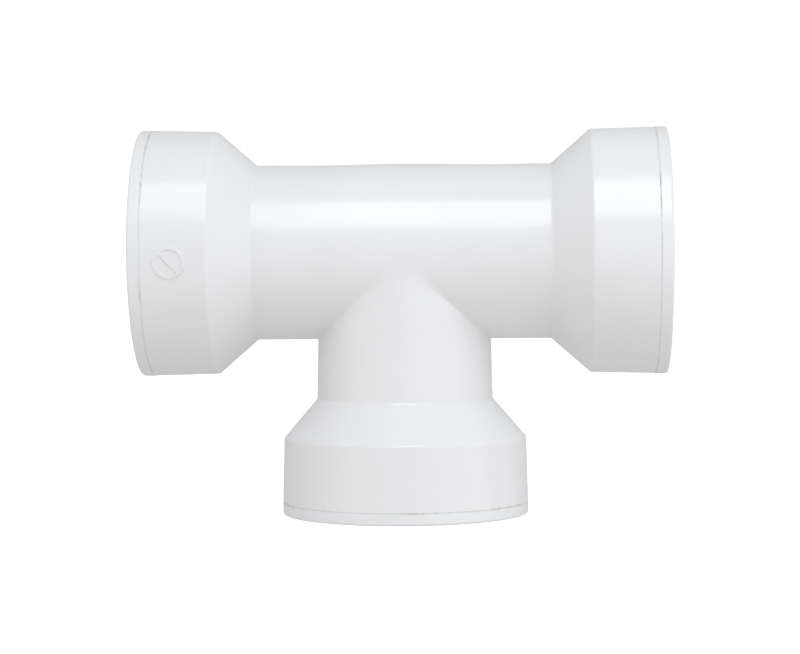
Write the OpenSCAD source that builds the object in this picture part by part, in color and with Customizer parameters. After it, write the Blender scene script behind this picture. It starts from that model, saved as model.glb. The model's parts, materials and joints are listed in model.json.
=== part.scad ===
// Equal 90 degree push-fit tee for plastic waste pipe.
// The run lies along X and the branch points down, along -Z.
// The origin is the centre of the branch's mouth, so the tee stands on it at z = 0.
// Each of the three sockets holds a rubber lip seal behind a snapped-in retaining cap.
// Profiles are drawn as [radius, distance from the crossing of the centrelines].

/* [Pipe] */
// Outside diameter of the pipe that pushes into every socket
pipe_od = 41; // [40.5:0.1:41.2]
// Radial gap between the pipe and the pilot bore that guides its end
pilot_gap = 0.2; // [0.15:0.05:0.4]
// How far the pipe pushes in before it meets the stop
pipe_depth = 23.5; // [22.5:0.5:24]

/* [Body] */
// Distance from the crossing of the centrelines to each mouth
leg = 61.5; // [60.5:0.5:63]
// Outside diameter of the plain run between its sockets
run_od = 41; // [40.6:0.1:41.6]
// Outside diameter of the branch at the run's centreline, smaller because of mould draft
branch_od = 39.8; // [39.6:0.1:40.4]
// Outside diameter of the branch at the small end of its socket's cone
branch_end_od = 41.3; // [41:0.1:41.6]
// Bore of the plain branch
branch_bore = 36.8; // [36.2:0.1:37]
// Wall of the plain run
wall = 2; // [1.8:0.1:2.4]

/* [Socket] */
// Distance from the crossing to the small end of each socket's cone
cone_start = 34.45; // [34:0.05:35]
// Distance from the crossing to the large end of each socket's cone
cone_end = 43.6; // [43:0.1:44]
// Outside diameter where the cone meets the barrel
barrel_od = 57; // [56.8:0.1:57.2]
// Outside diameter of the barrel at the seam, larger because of mould draft
seam_od = 57.7; // [57.2:0.1:58]
// Wall of the seal housing where it meets the cone
barrel_wall = 2.5; // [2.3:0.1:2.6]
// Wall of the sleeve around the pilot bore
pilot_wall = 2.2; // [2:0.1:2.4]
// Width of the ledge that the seal rests on around the housing wall
seat_ledge = 1; // [0.8:0.1:1.2]
// Axial length of the pilot bore, from the pipe stop to the seal seat
pilot_length = 7.2; // [6.8:0.1:7.4]
// Number of ribs between the pilot sleeve and the cone
rib_count = 12; // [8:1:16]
// Thickness of each rib
rib_thickness = 1.3; // [1:0.1:1.8]

/* [Retaining cap] */
// Thickness of the cap's flange, the ring that shows beyond the seam
flange = 2.8; // [2.6:0.1:3.2]
// Outside diameter of the cap's flange
cap_od = 57.8; // [57.8:0.1:58.4]
// Radius of the hole in the cap that the pipe enters through
entry_r = 21.2; // [20.9:0.1:21.6]
// Width and depth of the lead-in chamfer at the mouth
lead_in = 1.2; // [0.8:0.1:1.6]
// Rounding of the mouth's outer rim
rim_round = 0.6; // [0.4:0.1:0.8]
// Length of the skirt that goes into the seal housing
skirt_length = 5.3; // [5:0.1:5.6]
// Wall of the skirt
skirt_wall = 2; // [1.8:0.1:2.2]
// Height of the snap bead around the skirt
bead_height = 0.4; // [0.3:0.05:0.5]
// Width of the chamfer on either side of the seam
seam_chamfer = 0.2; // [0.1:0.05:0.25]

/* [Lip seal] */
// Length of the cylindrical land that the lip seals on
land_length = 2; // [1.6:0.1:2.4]
// Thickness of the seal's outer ring, without its beads
ring_thickness = 2.8; // [2.6:0.1:3]
// Height of the two beads that press on the housing
seal_bead = 0.4; // [0.3:0.05:0.5]

/* [Mould mark] */
// Height of the raised mark on the left socket
mark_height = 0.2; // [0.1:0.05:0.25]
// Radius of the mark's ring
mark_r = 3.7; // [3:0.1:4]
// Width of the mark's lines
mark_line = 0.8; // [0.6:0.1:1]
// Distance from the crossing to the mark's centre
mark_place = 52; // [50:0.5:53]
// How far the mark's centre is below the run's centreline
mark_drop = 1.9; // [0:0.1:3]

/* [Hidden] */

$fn = 96;
LEFT = [0, -90, 0];   // turns that lay a profile's +Z along each leg
RIGHT = [0, 90, 0];
BRANCH = [180, 0, 0];
ARC_STEPS = 6;        // straight steps in each rounded corner of a profile
PAST = 1;             // how far a cutting shape runs past the face that it opens

seam = leg - flange;
stop = leg - pipe_depth;
seat = stop + pilot_length;
skirt_end = seam - skirt_length;
pilot_r = pipe_od / 2 + pilot_gap;
housing_r = barrel_od / 2 - barrel_wall;
snap_gap = 0.05;      // play all round between the cap's skirt and the housing
skirt_r = housing_r - snap_gap;
bead_inset = 1.8;     // from the end of the skirt to the top of its bead
bead_place = skirt_end + bead_inset;
bead_ramp = 0.8;      // axial length of the bead's sloping side
bead_flat = 0.4;      // axial length of its top
bead_back = 0.1;      // axial length of its holding side
pilot_lead = 0.8;     // chamfer at the pilot bore's mouth
seal_bead_inset = 1.6; // from each end of the seal to the middle of a bead
seal_taper = 0.2;     // how much thinner the seal's ring is at its seat
seal_shoulder = 0.8;  // chamfer that guides the pipe from the seal's ring to its lip
land_place = 4.2;     // from the seat to the outer end of the lip's land
lip_tip = 1;          // thickness of the lip at its tip
lip_root = 1.4;       // thickness of the lip where it leaves the ring
groove_round = 0.45;  // radius at the bottom of the groove behind the lip
cone_slope = (barrel_od - run_od) / 2 / (cone_end - cone_start);

function arc(centre, r, from, to) = [
    for (i = [0:ARC_STEPS])
        let (a = from + (to - from) * i / ARC_STEPS)
            centre + r * [cos(a), sin(a)]
];

// A snap bead on a wall of radius r, from its ramp to its holding side
function bead(r, spare = 0) = [
    [r, bead_place - bead_ramp - spare],
    [r + bead_height, bead_place - spare],
    [r + bead_height, bead_place + bead_flat + spare],
    [r, bead_place + bead_flat + bead_back + spare]
];

module on_leg(turn) {
    translate([0, 0, leg])
        rotate(turn)
            children();
}

module revolve(points) {
    rotate_extrude()
        polygon(points);
}

// Outside of one leg from the crossing to the seam, its barrel raised by extra
function leg_outline(pipe_r, extra = 0) = [
    [pipe_r, cone_start],
    [barrel_od / 2 + extra, cone_end],
    [seam_od / 2 + extra, seam - seam_chamfer],
    [seam_od / 2 + extra - seam_chamfer, seam]
];

module run_outside(extra = 0) {
    half = leg_outline(run_od / 2, extra);
    other_half = [for (i = [len(half) - 1:-1:0]) [half[i].x, -half[i].y]];
    on_leg(RIGHT)
        revolve(concat([[0, -seam]], other_half, half, [[0, seam]]));
}

module branch_outside() {
    on_leg(BRANCH)
        revolve(concat([[0, 0], [branch_od / 2, 0]], leg_outline(branch_end_od / 2), [[0, seam]]));
}

// Everything that the pipe, the seal and the cap's skirt go into
module socket_inside() {
    revolve(concat(
        [
            [0, stop],
            [pilot_r, stop],
            [pilot_r, seat - pilot_lead],
            [pilot_r + pilot_lead, seat],
            [housing_r, seat]
        ],
        bead(housing_r, snap_gap),
        [[housing_r, seam + PAST], [0, seam + PAST]]
    ));
}

// Hollow between the pilot sleeve and the cone, crossed by ribs
module cored_ring() {
    sleeve_r = pilot_r + pilot_wall;
    ledge_r = housing_r - seat_ledge;
    // barrel_wall is kept square to the cone, so it is longer along the radius
    cone_wall = barrel_wall * sqrt(1 + cone_slope * cone_slope);
    inner_at_end = barrel_od / 2 - cone_wall;
    root = cone_end - (inner_at_end - sleeve_r) / cone_slope;
    wide = cone_end - (inner_at_end - ledge_r) / cone_slope;
    difference() {
        revolve([
            [sleeve_r, root],
            [ledge_r, wide],
            [ledge_r, seat + PAST],
            [sleeve_r, seat + PAST]
        ]);
        for (i = [0:rib_count - 1])
            rotate((i + 0.5) * 360 / rib_count)
                translate([sleeve_r - PAST, -rib_thickness / 2, root])
                    cube([ledge_r - sleeve_r + 2 * PAST, rib_thickness, seat - root]);
    }
}

// A ring with a pointer, raised on the front of the left socket
module mould_mark() {
    depth = barrel_wall / 2;
    intersection() {
        run_outside(mark_height);
        translate([-mark_place, depth - barrel_od / 2, leg - mark_drop])
            rotate([90, 0, 0])
                linear_extrude(2 * depth)
                    mark_outline();
    }
}

module mark_outline() {
    difference() {
        circle(mark_r);
        circle(mark_r - mark_line);
    }
    rotate(45)
        square([mark_line, 2 * mark_r - mark_line], center = true);
}

module tee_body() {
    color("white")
        difference() {
            union() {
                run_outside();
                branch_outside();
                mould_mark();
            }
            on_leg(RIGHT)
                cylinder(r = run_od / 2 - wall, h = 2 * stop + 2 * PAST, center = true);
            on_leg(BRANCH)
                cylinder(r = branch_bore / 2, h = stop + PAST);
            for (turn = [LEFT, RIGHT, BRANCH])
                on_leg(turn) {
                    socket_inside();
                    cored_ring();
                }
        }
}

// The seal is drawn with its lip pressed out to the pipe's radius, as when it is in use
module lip_seal(turn) {
    outer = housing_r - seal_bead;
    inner = outer - ring_thickness;
    lip_r = pipe_od / 2;
    land_end = seat + land_place;
    land_start = land_end - land_length;
    color("#26272a")
        on_leg(turn)
            revolve(concat(
                [
                    [inner + seal_taper, seat],
                    [outer, seat]
                ],
                arc([outer, seat + seal_bead_inset], seal_bead, -90, 90),
                arc([outer, skirt_end - seal_bead_inset], seal_bead, -90, 90),
                [
                    [outer, skirt_end],
                    [inner, skirt_end],
                    [inner - seal_shoulder, skirt_end - seal_shoulder],
                    [lip_r, land_end],
                    [lip_r, land_start],
                    [lip_r + lip_tip, land_start - lip_tip],
                    [lip_r + lip_root, land_start + lip_tip]
                ],
                arc([inner - groove_round, land_end], groove_round, 180, 0)
            ));
}

module retaining_cap(turn) {
    outer = cap_od / 2;
    color("whitesmoke")
        on_leg(turn)
            revolve(concat(
                [
                    [entry_r, seam],
                    [skirt_r - skirt_wall, seam],
                    [skirt_r - skirt_wall, skirt_end],
                    [skirt_r - bead_height, skirt_end],
                    [skirt_r, skirt_end + bead_height]
                ],
                bead(skirt_r),
                [
                    [skirt_r, seam],
                    [outer - seam_chamfer, seam],
                    [outer, seam + seam_chamfer]
                ],
                arc([outer - rim_round, leg - rim_round], rim_round, 0, 90),
                [
                    [entry_r + lead_in, leg],
                    [entry_r, leg - lead_in]
                ]
            ));
}

tee_body();
lip_seal(LEFT);  // left_lip_seal
lip_seal(RIGHT);  // right_lip_seal
lip_seal(BRANCH);  // branch_lip_seal
retaining_cap(LEFT);  // left_retaining_cap
retaining_cap(RIGHT);  // right_retaining_cap
retaining_cap(BRANCH);  // branch_retaining_cap
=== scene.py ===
"""A white push-fit tee for waste pipe: fine surfaces, plastic, rubber and a pale studio.

Profiles are drawn in millimetres as (distance from the crossing of the centrelines, radius),
spun round +Z in metres, and then laid along each leg in the CAD frame.
"""

import json
import math

import bmesh
import bpy
from mathutils import Matrix, Quaternion, Vector, noise


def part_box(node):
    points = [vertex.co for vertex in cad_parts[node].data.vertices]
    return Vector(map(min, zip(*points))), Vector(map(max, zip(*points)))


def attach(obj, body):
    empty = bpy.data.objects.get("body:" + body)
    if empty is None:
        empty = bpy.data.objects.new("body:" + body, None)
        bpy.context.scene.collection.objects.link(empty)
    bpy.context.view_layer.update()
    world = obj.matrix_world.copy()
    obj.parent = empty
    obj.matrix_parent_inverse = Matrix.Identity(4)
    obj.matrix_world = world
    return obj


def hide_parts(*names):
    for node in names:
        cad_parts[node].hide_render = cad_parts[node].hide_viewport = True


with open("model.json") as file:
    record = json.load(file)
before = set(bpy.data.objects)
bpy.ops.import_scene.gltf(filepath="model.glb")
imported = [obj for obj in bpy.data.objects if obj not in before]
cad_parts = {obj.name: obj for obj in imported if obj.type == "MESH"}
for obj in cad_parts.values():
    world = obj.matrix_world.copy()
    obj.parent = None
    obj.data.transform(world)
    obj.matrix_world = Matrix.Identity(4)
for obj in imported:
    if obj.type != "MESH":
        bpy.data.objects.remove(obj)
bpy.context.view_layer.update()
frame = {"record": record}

MM = 0.001
SEGMENTS = 120          # steps round every socket, a multiple of 12 for the ribs
CORNER_STEPS = 3        # steps in each rounded corner
SHARP_ANGLE = 40        # edges that turn by more than this many degrees stay sharp
NEAR = 0.02             # points nearer than this to a surface lie on it, in millimetres

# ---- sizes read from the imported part, in millimetres ----

CAP_LOW, CAP_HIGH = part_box("right_retaining_cap")
SEAL_LOW, SEAL_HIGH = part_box("right_lip_seal")
LEG = CAP_HIGH.x / MM                       # crossing to mouth
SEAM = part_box("tee_body")[1].x / MM         # crossing to the joint of body and cap
SKIRT_END = CAP_LOW.x / MM
SEAT = SEAL_LOW.x / MM                      # where the seal rests
CAP_R = (CAP_HIGH.z - CAP_LOW.z) / 2 / MM
HOUSING_R = (SEAL_HIGH.z - SEAL_LOW.z) / 2 / MM
CROSSING = Vector((0, 0, (CAP_HIGH.z + CAP_LOW.z) / 2))
BORES = {m["name"]: m["dims"]["r_mm"] for m in frame["record"]["mounts"] if m["kind"] == "bore"}
PILOT_R = BORES["right_socket"]
LIP_R = BORES["right_seal_land"]

# ---- sizes of the body that the boxes don't hold, in millimetres ----

RUN_R = 20.5
RUN_BORE_R = 18.5
BRANCH_R = 19.9         # at the run's centreline
BRANCH_DRAFT = 0.0218   # how much the branch widens for each millimetre outwards
BRANCH_BORE_R = 18.4
CONE_START = 34.45
CONE_END = 43.6
CONE_ROUNDING = 0.35
SHOULDER_R = 28.5
SEAM_R = 28.85
STOP = 38.0             # where the pipe's end stops
PILOT_LEAD = 0.8
SLEEVE_R = 22.9         # outside of the sleeve round the pilot bore
LEDGE_R = 25.0          # inside of the ledge that the seal rests on
RIBS = 12
HOLLOW = ((1.8, LEDGE_R), (2.2, SLEEVE_R + 0.2))    # (how much deeper, outer radius there)
PLAIN_STEPS = (0.25, 0.5, 0.8, 1.3, 2, 3, 4.5, 7, 10, 14, 18, 22, 26, 30)   # rings along a tube

FILLET = 0.35           # reach of the soft fillet where run and branch meet squarely
APEX_FILLET = 7.0       # how much further it reaches where they run alike, at front and back
FILLET_PASSES = 4       # passes that bring a point onto the fillet

SETTLE_RISE = 0.13      # how far the top of the run rises and sinks
SETTLE_LIFT = 0.4       # how much of that it is lifted all along
SETTLE_WAVE = 42        # from one rise to the next
SETTLE_FADE = 8         # it fades over this length before each cone
SETTLE_REACH = 0.05     # it moves the points that are this near to the plain run

# ---- sizes of the joint between body and cap, in millimetres ----

SEAM_CHAMFER = 0.1
SEAM_ROUNDING = 0.06
SEAM_WIDTH = 0.5        # the body's edge is uneven this far from the joint
SEAM_WAVE = 2.6         # length of the waves along the joint
SEAM_DEPTH = 0.08       # how far they reach along the leg
SEAM_SWELL = 0.05       # and how far outwards
PARTING_START = 0.9     # the flash at the parting line starts this far towards it
PARTING_FLASH = 6       # and makes the waves this many times as high
SEAM_TOUCH = 0.01       # the waves stay this far from the cap's face
NEXT_LEG = 40           # each leg's waves start this far along the noise

# ---- sizes of the moulding mark, in millimetres ----

MARK_PLACE = 52.0       # from the crossing
MARK_DROP = 1.9         # below the centreline
MARK_R = 3.7
MARK_LINE = 0.8         # width of its lines
MARK_HEIGHT = 0.2
MARK_ROOT = 0.4         # how deep it goes into the wall
MARK_EDGE = 0.08        # rounding of its edges
MARK_TURN = 45          # the pointer's turn, in degrees

# ---- sizes of the caps and seals, in millimetres ----

ENTRY_R = 21.2
LEAD_IN = 1.2
LEAD_ROUNDING = 0.2
MOUTH_ROUNDING = 0.55
SKIRT_WALL = 2.0
SKIRT_CHAMFER = 0.4
SKIRT_ROUNDING = 0.25
SNAP_GAP = 0.05
SNAP_BEAD = ((1.0, 0), (1.8, 0.4), (2.2, 0.4), (2.3, 0))    # (from the skirt's end, height)
RING = 2.8              # the seal's outer ring
RING_TAPER = 0.2        # how much thinner it is at the seat
SEAL_BEAD = 0.4
BEAD_INSET = 1.6        # from each end of the ring to the middle of its bead
LIP_ROOT = 0.8
LIP = ((4.2, 0, 0.3), (2.2, 0, 0.25), (1.2, 1.0, 0.3), (3.2, 1.4))  # (from seat, off pipe, rounding)
LIP_HINGE = ((4.4, -0.9, 0.3), (4.4, 0, 0.3))                       # (from seat, off ring, rounding)

TOWARDS_X = Matrix.Rotation(math.radians(90), 4, "Y")
LEGS = {
    "left": Matrix.Scale(-1, 4, (1, 0, 0)) @ TOWARDS_X,
    "right": TOWARDS_X,
    "branch": Matrix.Rotation(math.radians(180), 4, "X"),
}

# ---- colours ----

BODY_WHITE = (0.83, 0.83, 0.835)
CAP_WHITE = (0.83, 0.835, 0.845)
BODY_GRIME = (0.56, 0.555, 0.52)
CAP_GRIME = (0.58, 0.575, 0.545)
CLOUDED = 0.98          # how bright the plastic stays in its cloudy parts
RUBBER_BLACK = (0.016, 0.016, 0.018)
RUBBER_DUST = (0.07, 0.07, 0.07)
PAPER = (0.9, 0.9, 0.9)
PAPER_LIGHT = (0.95, 0.95, 0.95)
PAPER_GLOW = 0.5
SKY = (0.985, 0.99, 1.0)
SKY_STRENGTH = 0.59
COOL = (0.97, 0.99, 1)
COOLER = (0.95, 0.985, 1)
WARM = (1, 0.87, 0.85)

# ---- camera and floor ----

CAMERA_AZIMUTH = 2.28                       # degrees towards the right
CAMERA_ELEVATION = 2.24
CAMERA_LEAN = -0.42
CAMERA_DISTANCE = 0.5905                    # metres
CAMERA_LENS = 112.9
CAMERA_AIM = (-1.05, -0.53, -17.7)          # millimetres from the crossing
FLOOR_FLAT = 0.7                            # metres
FLOOR_BEND = 0.9
FLOOR_BEND_STEP = 6                         # degrees
FLOOR_STEPS = 72                            # steps round the floor
WALL_TOP = 2.2
FLOOR_GAP = 0.05                            # millimetres under the branch's mouth


# ---- mesh helpers ----

def spun(points, closed=True):
    """A profile spun round +Z. A point's third number, if it has one, is its rounding."""
    bm = bmesh.new()
    verts = [bm.verts.new((r * MM, 0, s * MM)) for s, r, *_ in points]
    ends = verts[1:] + verts[:1] if closed else verts[1:]
    for a, b in zip(verts, ends):
        bm.edges.new((a, b))
    for vert, (_, _, *roundings) in zip(verts, points):
        for rounding in roundings:
            bmesh.ops.bevel(
                bm, geom=[vert], offset=rounding * MM, offset_type="OFFSET",
                segments=CORNER_STEPS, profile=0.5, affect="VERTICES", material=-1,
            )
    spin_all(bm, SEGMENTS)
    bmesh.ops.remove_doubles(bm, verts=bm.verts, dist=1e-7)
    return bm


def spin_all(bm, steps):
    """Spins everything in the bmesh once round +Z."""
    bmesh.ops.spin(
        bm, geom=bm.verts[:] + bm.edges[:], axis=(0, 0, 1), cent=(0, 0, 0),
        angle=2 * math.pi, steps=steps, use_merge=True,
    )


def laid_along(bm, leg):
    """Lays a spun shape along one leg, from the crossing outwards."""
    bmesh.ops.transform(bm, matrix=Matrix.Translation(CROSSING) @ LEGS[leg], verts=bm.verts)
    return bm


def joined(parts):
    """One bmesh that holds all the parts, with the points that they share merged."""
    whole = bmesh.new()
    for part in parts:
        mesh = bpy.data.meshes.new("part")
        part.to_mesh(mesh)
        part.free()
        whole.from_mesh(mesh)
        bpy.data.meshes.remove(mesh)
    bmesh.ops.remove_doubles(whole, verts=whole.verts, dist=1e-6)
    return whole


def finished(bm, name, material):
    """Turns a bmesh in the CAD frame into the piece that stands for the CAD node."""
    bmesh.ops.recalc_face_normals(bm, faces=bm.faces)
    mesh = bpy.data.meshes.new(name + "_mesh")
    bm.to_mesh(mesh)
    bm.free()
    mesh.shade_smooth()
    mesh.set_sharp_from_angle(angle=math.radians(SHARP_ANGLE))
    mesh.materials.append(material)
    piece = bpy.data.objects.new(name + "_surface", mesh)
    bpy.context.scene.collection.objects.link(piece)
    shading = piece.modifiers.new("even_shading", "WEIGHTED_NORMAL")
    shading.keep_sharp = True
    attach(piece, "root")
    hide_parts(name)
    return piece


# ---- the line where run and branch meet ----

def crease_point(u, run_r, branch_r, draft):
    """Where the branch's line at u degrees from the run's direction comes out of the run.

    Gives the distance below the centreline, the branch's radius there, and the angle of that
    point round the run, from its bottom.
    """
    sine = abs(math.sin(math.radians(u)))
    a = 1 + (draft * sine) ** 2
    b = branch_r * draft * sine ** 2
    c = (branch_r * sine) ** 2 - run_r ** 2
    down = (math.sqrt(b * b - a * c) - b) / a
    out = branch_r + draft * down
    return down, out, math.degrees(math.atan2(out * sine, down))


def meet_crease(bm, leg, run_r, branch_r, draft=0.0):
    """Moves the open end of a plain tube onto the line where run and branch meet."""
    side = crease_point(90, run_r, branch_r, draft)[2]
    for vert in bm.verts:
        s = vert.co.z / MM
        share = 1 - s / CONE_START
        own_r = branch_r + draft * s if leg == "branch" else run_r
        if share <= 0 or abs(math.hypot(vert.co.x, vert.co.y) / MM - own_r) > NEAR:
            continue
        u = math.degrees(math.atan2(vert.co.y, vert.co.x))
        down, out, angle = crease_point(min(abs(u), 90), run_r, branch_r, draft)
        if leg == "branch":
            s += crease_point(u, run_r, branch_r, draft)[0] * share
            own_r = branch_r + draft * s
        elif abs(u) <= 90:
            s += out * math.cos(math.radians(u)) * share
            u = math.copysign(abs(u) + (angle - abs(u)) * share, u)
        else:
            above = side + (abs(u) - 90) * (180 - side) / 90
            u = math.copysign(abs(u) + (above - abs(u)) * share, u)
        across = Vector((math.cos(math.radians(u)), math.sin(math.radians(u)), 0)) * own_r * MM
        vert.co = across + Vector((0, 0, s * MM))


def levels(place, run_r, branch_r, draft):
    """How far a point is outside the run and outside the branch, each with its way out."""
    beside_run = Vector((0, place.y, place.z))
    beside_branch = Vector((place.x, place.y, 0))
    return (
        (beside_run.length - run_r, beside_run.normalized()),
        (beside_branch.length - branch_r + draft * place.z, beside_branch.normalized()),
    )


def onto_fillet(place, *sizes):
    """Moves a point a step towards the fillet, which reaches further where the two run alike."""
    (low, out_low), (high, out_high) = sorted(levels(place, *sizes), key=lambda pair: pair[0])
    turn = math.sqrt(max(1e-9, 1 - out_low.dot(out_high) ** 2))
    reach = turn * (FILLET + APEX_FILLET * (1 - turn) ** 3)
    blend = max(0.0, 1 - (high - low) / reach)
    slope = out_low * (1 - blend / 2) + out_high * blend / 2
    return place - slope * ((low - blend * blend * reach / 4) / slope.length_squared)


def soften_crease(bm, run_r, branch_r, draft=0.0):
    """Fills the line between run and branch with a fillet that fades at front and back."""
    for vert in bm.verts:
        place = (vert.co - CROSSING) / MM
        outside = min(level for level, _ in levels(place, run_r, branch_r, draft))
        if place.z > 0 or abs(outside) > NEAR:
            continue
        for _ in range(FILLET_PASSES):
            place = onto_fillet(place, run_r, branch_r, draft)
        vert.co = place * MM + CROSSING


# ---- the body ----

def body_outside(outer_r, draft):
    """The outer skin of one leg, from the crossing to the joint."""
    return [
        *((s, outer_r + draft * s) for s in (0, *PLAIN_STEPS)),
        (CONE_START, outer_r + draft * CONE_START, CONE_ROUNDING),
        (CONE_END, SHOULDER_R, CONE_ROUNDING),
        (SEAM - SEAM_CHAMFER, SEAM_R, SEAM_ROUNDING),
        (SEAM, SEAM_R - SEAM_CHAMFER),
    ]


def body_inside(inner_r):
    """The inner skin of one leg, from the joint back to the crossing."""
    return [
        (SEAM, HOUSING_R),
        *((SKIRT_END + s, HOUSING_R + height) for s, height in reversed(SNAP_BEAD)),
        (SEAT, HOUSING_R),
        (SEAT, LEDGE_R),
        (SEAT, SLEEVE_R),
        (SEAT, PILOT_R + PILOT_LEAD),
        (SEAT - PILOT_LEAD, PILOT_R),
        (STOP, PILOT_R),
        (STOP, inner_r),
        *((s, inner_r) for s in (CONE_START, *reversed(PLAIN_STEPS), 0)),
    ]


def cored_hollows(bm):
    """Presses the ribbed hollows into the seat, between the pilot sleeve and the cone."""
    step = 360 / SEGMENTS
    per_rib = SEGMENTS // RIBS
    hollow = []
    for face in bm.faces:
        middle = face.calc_center_median() / MM
        radius = math.hypot(middle.x, middle.y)
        if abs(middle.z - SEAT) > NEAR or not SLEEVE_R < radius < LEDGE_R:
            continue
        number = int((math.degrees(math.atan2(middle.y, middle.x)) % 360) / step)
        if (number + per_rib // 2) % per_rib:
            hollow.append(face)
    for depth, outer_r in HOLLOW:
        grown = bmesh.ops.extrude_face_region(bm, geom=hollow)["geom"]
        bmesh.ops.delete(bm, geom=hollow, context="FACES")
        hollow = [g for g in grown if isinstance(g, bmesh.types.BMFace)]
        for vert in (g for g in grown if isinstance(g, bmesh.types.BMVert)):
            radius = math.hypot(vert.co.x, vert.co.y) / MM
            pull = outer_r / radius if radius > (SLEEVE_R + LEDGE_R) / 2 else 1
            vert.co = Vector((vert.co.x * pull, vert.co.y * pull, vert.co.z - depth * MM))


def uneven_seam(bm, leg):
    """Makes the body's edge at the joint slightly wavy, and rougher at the parting line."""
    seed = Vector((0, 0, NEXT_LEG * (1 + list(LEGS).index(leg))))
    for vert in bm.verts:
        s = vert.co.z / MM
        radius = math.hypot(vert.co.x, vert.co.y) / MM
        if s <= SEAM - SEAM_WIDTH or radius <= SEAM_R - SEAM_WIDTH:
            continue
        wave = noise.noise(Vector((vert.co.x, vert.co.y, 0)) / (SEAM_WAVE * MM) + seed)
        towards = -vert.co.x / (radius * MM)
        parting = max(0.0, towards - PARTING_START) / (1 - PARTING_START)
        wave *= 1 + (PARTING_FLASH - 1) * parting
        if s < SEAM - SEAM_TOUCH:
            vert.co.z = min(s + wave * SEAM_DEPTH, SEAM - SEAM_TOUCH) * MM
        swell = 1 + min(wave * SEAM_SWELL, CAP_R - SEAM_R) / radius
        vert.co.x *= swell
        vert.co.y *= swell


def body_leg(leg):
    """The outer and inner skin of one leg, joined round the mouth and open at the crossing."""
    if leg == "branch":
        skin = body_outside(BRANCH_R, BRANCH_DRAFT) + body_inside(BRANCH_BORE_R)
    else:
        skin = body_outside(RUN_R, draft=0) + body_inside(RUN_BORE_R)
    bm = spun(skin, closed=False)
    cored_hollows(bm)
    meet_crease(bm, leg, RUN_R, BRANCH_R, BRANCH_DRAFT)
    meet_crease(bm, leg, RUN_BORE_R, BRANCH_BORE_R)
    uneven_seam(bm, leg)
    return laid_along(bm, leg)


def settle_run(bm):
    """The top of the run rises a little over the branch and sinks on either side of it."""
    for vert in bm.verts:
        place = (vert.co - CROSSING) / MM
        off_run = abs(math.hypot(place.y, place.z) - RUN_R)
        if place.z <= 0 or off_run >= SETTLE_REACH or abs(place.x) >= CONE_START:
            continue
        fade = min(1.0, (CONE_START - abs(place.x)) / SETTLE_FADE)
        wave = SETTLE_LIFT + math.cos(2 * math.pi * place.x / SETTLE_WAVE)
        vert.co.z += SETTLE_RISE * wave * fade * (place.z / RUN_R) ** 2 * MM


def flat_mark():
    """The moulding mark's outline, drawn flat in millimetres: a ring with a pointer across it."""
    bm = bmesh.new()
    outer = bmesh.ops.create_circle(bm, segments=48, radius=MARK_R)["verts"]
    inner = bmesh.ops.create_circle(bm, segments=48, radius=MARK_R - MARK_LINE)["verts"]
    edges = {e for v in outer + inner for e in v.link_edges}
    bmesh.ops.bridge_loops(bm, edges=list(edges))
    pointer = bmesh.ops.create_grid(bm, x_segments=1, y_segments=8, size=1)["verts"]
    bmesh.ops.scale(bm, verts=pointer, vec=(MARK_LINE / 2, MARK_R - MARK_LINE * 0.75, 1))
    turn = Matrix.Rotation(math.radians(MARK_TURN), 3, "Z")
    bmesh.ops.rotate(bm, verts=pointer, cent=(0, 0, 0), matrix=turn)
    return bm


def mould_mark():
    """The moulder's generic mark, raised on the front of the left socket."""
    bm = flat_mark()
    raised = bmesh.ops.extrude_face_region(bm, geom=bm.faces[:])["geom"]
    tops = {g for g in raised if isinstance(g, bmesh.types.BMVert)}
    bmesh.ops.translate(bm, verts=list(tops), vec=(0, 0, MARK_HEIGHT + MARK_ROOT))
    rim = [e for e in bm.edges if tops.issuperset(e.verts) and e.calc_face_angle(0) > 1]
    bmesh.ops.bevel(
        bm, geom=rim, offset=MARK_EDGE, offset_type="OFFSET", segments=2, profile=0.5,
        affect="EDGES", material=-1,
    )
    for vert in bm.verts:
        s = MARK_PLACE - vert.co.x
        barrel_r = SHOULDER_R + (SEAM_R - SHOULDER_R) * (s - CONE_END) / (SEAM - CONE_END)
        angle = (vert.co.y - MARK_DROP) / barrel_r
        r = barrel_r - MARK_ROOT + vert.co.z
        vert.co = CROSSING + Vector((-s, -r * math.cos(angle), r * math.sin(angle))) * MM
    return bm


def tee_body(material):
    """The moulding with its three sockets, and the mark on it."""
    bm = joined([body_leg(leg) for leg in LEGS])
    soften_crease(bm, RUN_R, BRANCH_R, BRANCH_DRAFT)
    soften_crease(bm, RUN_BORE_R, BRANCH_BORE_R)
    settle_run(bm)
    return finished(joined([bm, mould_mark()]), "tee_body", material)


# ---- the caps and the seals ----

def retaining_cap(leg, material):
    """A ring with a skirt and snap bead, chamfered where the pipe goes in."""
    skirt_r = HOUSING_R - SNAP_GAP
    inner_r = skirt_r - SKIRT_WALL
    points = [
        (SEAM, ENTRY_R, SKIRT_ROUNDING),
        (SEAM, inner_r),
        (SKIRT_END, inner_r, SKIRT_ROUNDING),
        (SKIRT_END, skirt_r - SKIRT_CHAMFER),
        (SKIRT_END + SKIRT_CHAMFER, skirt_r),
        *((SKIRT_END + s, skirt_r + height) for s, height in SNAP_BEAD),
        (SEAM, skirt_r),
        (SEAM, CAP_R - SEAM_CHAMFER),
        (SEAM + SEAM_CHAMFER, CAP_R, SEAM_ROUNDING),
        (LEG, CAP_R, MOUTH_ROUNDING),
        (LEG, ENTRY_R + LEAD_IN, LEAD_ROUNDING),
        (LEG - LEAD_IN, ENTRY_R, SKIRT_ROUNDING),
    ]
    bm = laid_along(spun(points), leg)
    return finished(bm, leg + "_retaining_cap", material)


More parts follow.
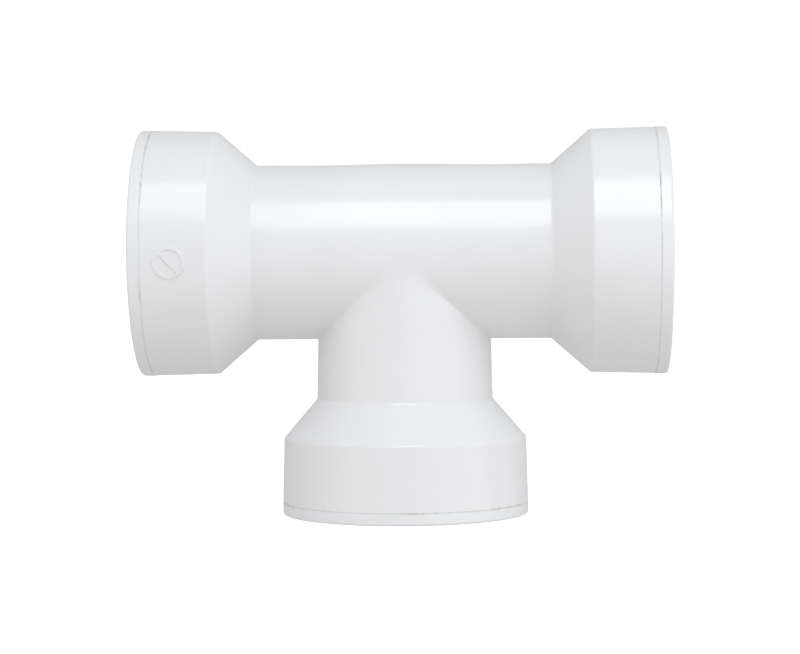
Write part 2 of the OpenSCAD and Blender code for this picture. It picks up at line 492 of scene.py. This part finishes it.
def seal_bead(middle, outer_r):
    """A half-round bead on the outside of the seal."""
    angles = [math.radians(degrees) for degrees in range(-90, 91, 30)]
    return [(middle + SEAL_BEAD * math.sin(a), outer_r + SEAL_BEAD * math.cos(a)) for a in angles]


def lip_seal(leg, material):
    """A rubber ring with two beads outside and a lip that lies on the pipe."""
    outer_r = HOUSING_R - SEAL_BEAD
    inner_r = outer_r - RING
    points = [
        (SEAT, inner_r + RING_TAPER),
        (SEAT, outer_r),
        *seal_bead(SEAT + BEAD_INSET, outer_r),
        *seal_bead(SKIRT_END - BEAD_INSET, outer_r),
        (SKIRT_END, outer_r),
        (SKIRT_END, inner_r),
        (SKIRT_END - LIP_ROOT, inner_r - LIP_ROOT),
        *((SEAT + s, LIP_R + off, *rounding) for s, off, *rounding in LIP),
        *((SEAT + s, inner_r + off, *rounding) for s, off, *rounding in LIP_HINGE),
    ]
    bm = laid_along(spun(points), leg)
    return finished(bm, leg + "_lip_seal", material)


# ---- shader maths ----

class Value:
    """A shader socket that Python's operators add Math nodes to."""

    def __init__(self, shader, socket):
        self.shader = shader
        self.socket = socket

    def math(self, operation, *values):
        return self.shader.node("ShaderNodeMath", {"operation": operation}, dict(enumerate(values)))

    def larger(self, other):
        return self.math("MAXIMUM", self, other)

    def __add__(self, other):
        return self.math("ADD", self, other)

    def __sub__(self, other):
        return self.math("SUBTRACT", self, other)

    def __rsub__(self, other):
        return self.math("SUBTRACT", other, self)

    def __mul__(self, other):
        return self.math("MULTIPLY", self, other)

    def __abs__(self):
        return self.math("ABSOLUTE", self)

    __radd__ = __add__
    __rmul__ = __mul__


class Shader:
    """A material's nodes around its Principled shader."""

    def __init__(self, name):
        self.material = bpy.data.materials.new(name)
        self.material.use_nodes = True
        self.tree = self.material.node_tree
        self.surface = next(n for n in self.tree.nodes if n.type == "BSDF_PRINCIPLED")
        self.place = self.node("ShaderNodeTexCoord", {}, {}, "Object")

    def node(self, kind, settings, inputs, output=0):
        """Adds a node with its settings and inputs, and gives one of its outputs."""
        made = self.tree.nodes.new(kind)
        for key, value in settings.items():
            setattr(made, key, value)
        for key, value in inputs.items():
            self.feed(made.inputs[key], value)
        return Value(self, made.outputs[output])

    def feed(self, socket, value):
        if isinstance(value, Value):
            self.tree.links.new(value.socket, socket)
        else:
            socket.default_value = value

    def set(self, **sockets):
        """Feeds the Principled shader: base_color goes to Base Color, and so on."""
        for key, value in sockets.items():
            name = "IOR" if key == "ior" else key.replace("_", " ").title()
            self.feed(self.surface.inputs[name], value)

    def along(self, axis):
        """How far a point is along one axis, in metres."""
        return self.node("ShaderNodeSeparateXYZ", {}, {"Vector": self.place}, axis)

    def noise(self, size_mm, detail=2.0, roughness=0.5):
        inputs = {
            "Vector": self.place,
            "Scale": 1 / (size_mm * MM),
            "Detail": detail,
            "Roughness": roughness,
        }
        return self.node("ShaderNodeTexNoise", {}, inputs, "Fac")

    def ramp(self, value, low, high, at_low=0.0, at_high=1.0):
        """Goes smoothly from at_low to at_high as value goes from low to high."""
        inputs = {
            "Value": value,
            "From Min": low,
            "From Max": high,
            "To Min": at_low,
            "To Max": at_high,
        }
        settings = {"interpolation_type": "SMOOTHSTEP"}
        return self.node("ShaderNodeMapRange", settings, inputs, "Result")

    def mix(self, factor, a, b):
        """A colour between a and b, which are the Mix node's sockets 6 and 7."""
        first, second = (c if isinstance(c, Value) else (*c, 1) for c in (a, b))
        inputs = {0: factor, 6: first, 7: second}
        return self.node("ShaderNodeMix", {"data_type": "RGBA"}, inputs, 2)

    def bump(self, height, depth_mm, under=None):
        """A Bump node of that depth, laid over another one."""
        inputs = {"Height": height, "Distance": depth_mm * MM}
        if under:
            inputs["Normal"] = under
        return self.node("ShaderNodeBump", {}, inputs, "Normal")


# ---- materials ----

def from_seam(shader):
    """How far a point is from the nearest joint of body and cap, along its leg, in metres."""
    along_run = abs(shader.along("X"))
    along_branch = CROSSING.z - shader.along("Z")
    return abs(along_run.larger(along_branch) - SEAM * MM)


def seam_grime(shader):
    """Grime in patches along the joint, heavier on some stretches of it than on others."""
    patches = shader.noise(size_mm=1.6, detail=3)
    stretches = shader.noise(size_mm=14, detail=1)
    patchy = shader.ramp(patches, 0.4, 0.65, at_low=0.2, at_high=0.85)
    uneven = shader.ramp(stretches, 0.35, 0.65, at_low=0.2)
    close = shader.ramp(from_seam(shader), 0.08 * MM, 0.42 * MM, at_low=1, at_high=0)
    return close * (patchy * uneven)


def white_plastic(name, colour, grime_colour):
    """Glossy white polypropylene: slight clouding and ripple, and grime along the cap's joint."""
    shader = Shader(name)
    cloud = shader.noise(size_mm=26)
    ripple = shader.noise(size_mm=8, detail=1.5)
    grain = shader.noise(size_mm=0.4, detail=3, roughness=0.6)
    clouded = tuple(c * CLOUDED for c in colour)
    base = shader.mix(shader.ramp(cloud, 0.35, 0.65), colour, clouded)
    grime = seam_grime(shader)
    gloss = shader.ramp(cloud + ripple, 0.7, 1.3, at_low=0.17, at_high=0.23)
    shader.set(
        base_color=shader.mix(grime, base, grime_colour),
        roughness=gloss + grime * 0.3,
        ior=1.49,
        normal=shader.bump(grain, depth_mm=0.003, under=shader.bump(ripple, depth_mm=0.08)),
    )
    return shader.material


def black_rubber():
    """Moulded black rubber: satin, finely grained, with pale dust in patches."""
    shader = Shader("black_rubber")
    dust = shader.noise(size_mm=4, detail=4, roughness=0.65)
    grain = shader.noise(size_mm=0.3, detail=3)
    dusty = shader.ramp(dust, 0.5, 0.75) * 0.5
    shader.set(
        base_color=shader.mix(dusty, RUBBER_BLACK, RUBBER_DUST),
        roughness=shader.ramp(dust, 0.3, 0.7, at_low=0.42, at_high=0.62),
        normal=shader.bump(grain, depth_mm=0.01),
    )
    return shader.material


def white_paper():
    """The backdrop's matt paper, which glows a little so that it stays white."""
    shader = Shader("white_paper")
    tone = shader.ramp(shader.noise(size_mm=60), 0.3, 0.7, at_low=0.97)
    shader.set(
        base_color=shader.mix(tone, PAPER, PAPER_LIGHT),
        roughness=0.9,
        emission_color=(1, 1, 1, 1),
        emission_strength=PAPER_GLOW,
    )
    return shader.material


# ---- studio ----

def facing(azimuth, elevation):
    """The direction out to a place round the tee. Azimuth 0 is the front, and 90 the right."""
    a = math.radians(azimuth)
    e = math.radians(elevation)
    return Vector((math.sin(a) * math.cos(e), -math.cos(a) * math.cos(e), math.sin(e)))


def camera():
    """Looks a little down on the front, very slightly from the right and leaning."""
    out = facing(CAMERA_AZIMUTH, CAMERA_ELEVATION)
    lean = Quaternion((0, 0, 1), math.radians(CAMERA_LEAN))
    lens = bpy.data.cameras.new("camera")
    lens.lens = CAMERA_LENS
    made = bpy.data.objects.new("camera", lens)
    made.location = CROSSING + Vector(CAMERA_AIM) * MM + out * CAMERA_DISTANCE
    made.rotation_mode = "QUATERNION"
    made.rotation_quaternion = (-out).to_track_quat("-Z", "Y") @ lean
    bpy.context.scene.collection.objects.link(made)
    bpy.context.scene.camera = made


def softbox(name, azimuth, elevation, size, power, colour, distance=0.8, glossy=True):
    """A rectangular light that faces the tee."""
    out = facing(azimuth, elevation)
    light = bpy.data.lights.new(name, "AREA")
    light.shape = "RECTANGLE"
    light.size, light.size_y = size
    light.energy = power
    light.color = colour
    made = bpy.data.objects.new(name, light)
    made.location = CROSSING + out * distance
    made.rotation_mode = "QUATERNION"
    made.rotation_quaternion = (-out).to_track_quat("-Z", "Y")
    made.visible_glossy = glossy
    bpy.context.scene.collection.objects.link(made)


def softboxes():
    """The key above the front, fills on both sides, warm light from below, and one behind."""
    softbox("key", 4, 50.4, size=(0.37, 0.52), power=2.05, colour=COOLER)
    softbox("right_fill", 40, 8, size=(1.3, 1.1), power=1.75, colour=COOL)
    softbox("left_fill", -40, 8, size=(1.3, 1.1), power=0.45, colour=COOL)
    softbox("right_side", 90, 0, size=(1, 1), power=0.83, colour=COOL)
    softbox("low_left", -60, -25, size=(1, 0.8), power=0.65, colour=WARM)
    softbox("low_right", 60, -25, size=(1, 0.8), power=0.42, colour=WARM)
    softbox("back", 180, 0, size=(1, 0.6), power=0.9, colour=COOL, distance=0.9, glossy=False)


def swept_floor():
    """A round floor that sweeps up into a wall on every side, facing inwards."""
    bm = bmesh.new()
    points = [(0, 0), (FLOOR_FLAT, 0)]
    for degrees in range(FLOOR_BEND_STEP, 91, FLOOR_BEND_STEP):
        angle = math.radians(degrees)
        out = FLOOR_FLAT + FLOOR_BEND * math.sin(angle)
        points.append((out, FLOOR_BEND * (1 - math.cos(angle))))
    points.append((FLOOR_FLAT + FLOOR_BEND, WALL_TOP))
    verts = [bm.verts.new((r, 0, z - FLOOR_GAP * MM)) for r, z in points]
    for pair in zip(verts, verts[1:]):
        bm.edges.new(pair)
    spin_all(bm, FLOOR_STEPS)
    bmesh.ops.remove_doubles(bm, verts=bm.verts, dist=1e-6)
    bmesh.ops.recalc_face_normals(bm, faces=bm.faces)
    bmesh.ops.reverse_faces(bm, faces=bm.faces)
    return bm


def pale_floor():
    """The floor and backdrop, which show behind the tee but don't light or shade it."""
    mesh = bpy.data.meshes.new("floor_mesh")
    bm = swept_floor()
    bm.to_mesh(mesh)
    bm.free()
    mesh.shade_smooth()
    mesh.materials.append(white_paper())
    floor = bpy.data.objects.new("floor", mesh)
    bpy.context.scene.collection.objects.link(floor)
    floor.visible_diffuse = False
    floor.visible_glossy = False
    floor.visible_shadow = False


def studio():
    """Even light from all round, the softboxes, and the floor."""
    world = bpy.data.worlds.new("studio")
    world.use_nodes = True
    sky = world.node_tree.nodes["Background"]
    sky.inputs["Color"].default_value = (*SKY, 1)
    sky.inputs["Strength"].default_value = SKY_STRENGTH
    bpy.context.scene.world = world
    bpy.context.scene.view_settings.view_transform = "Standard"
    softboxes()
    pale_floor()


def build():
    """The body, and a cap and a seal for each of its legs."""
    body_white = white_plastic("white_plastic", BODY_WHITE, BODY_GRIME)
    cap_white = white_plastic("white_cap_plastic", CAP_WHITE, CAP_GRIME)
    rubber = black_rubber()
    tee_body(body_white)
    for leg in LEGS:
        retaining_cap(leg, cap_white)
        lip_seal(leg, rubber)


camera()
studio()
build()
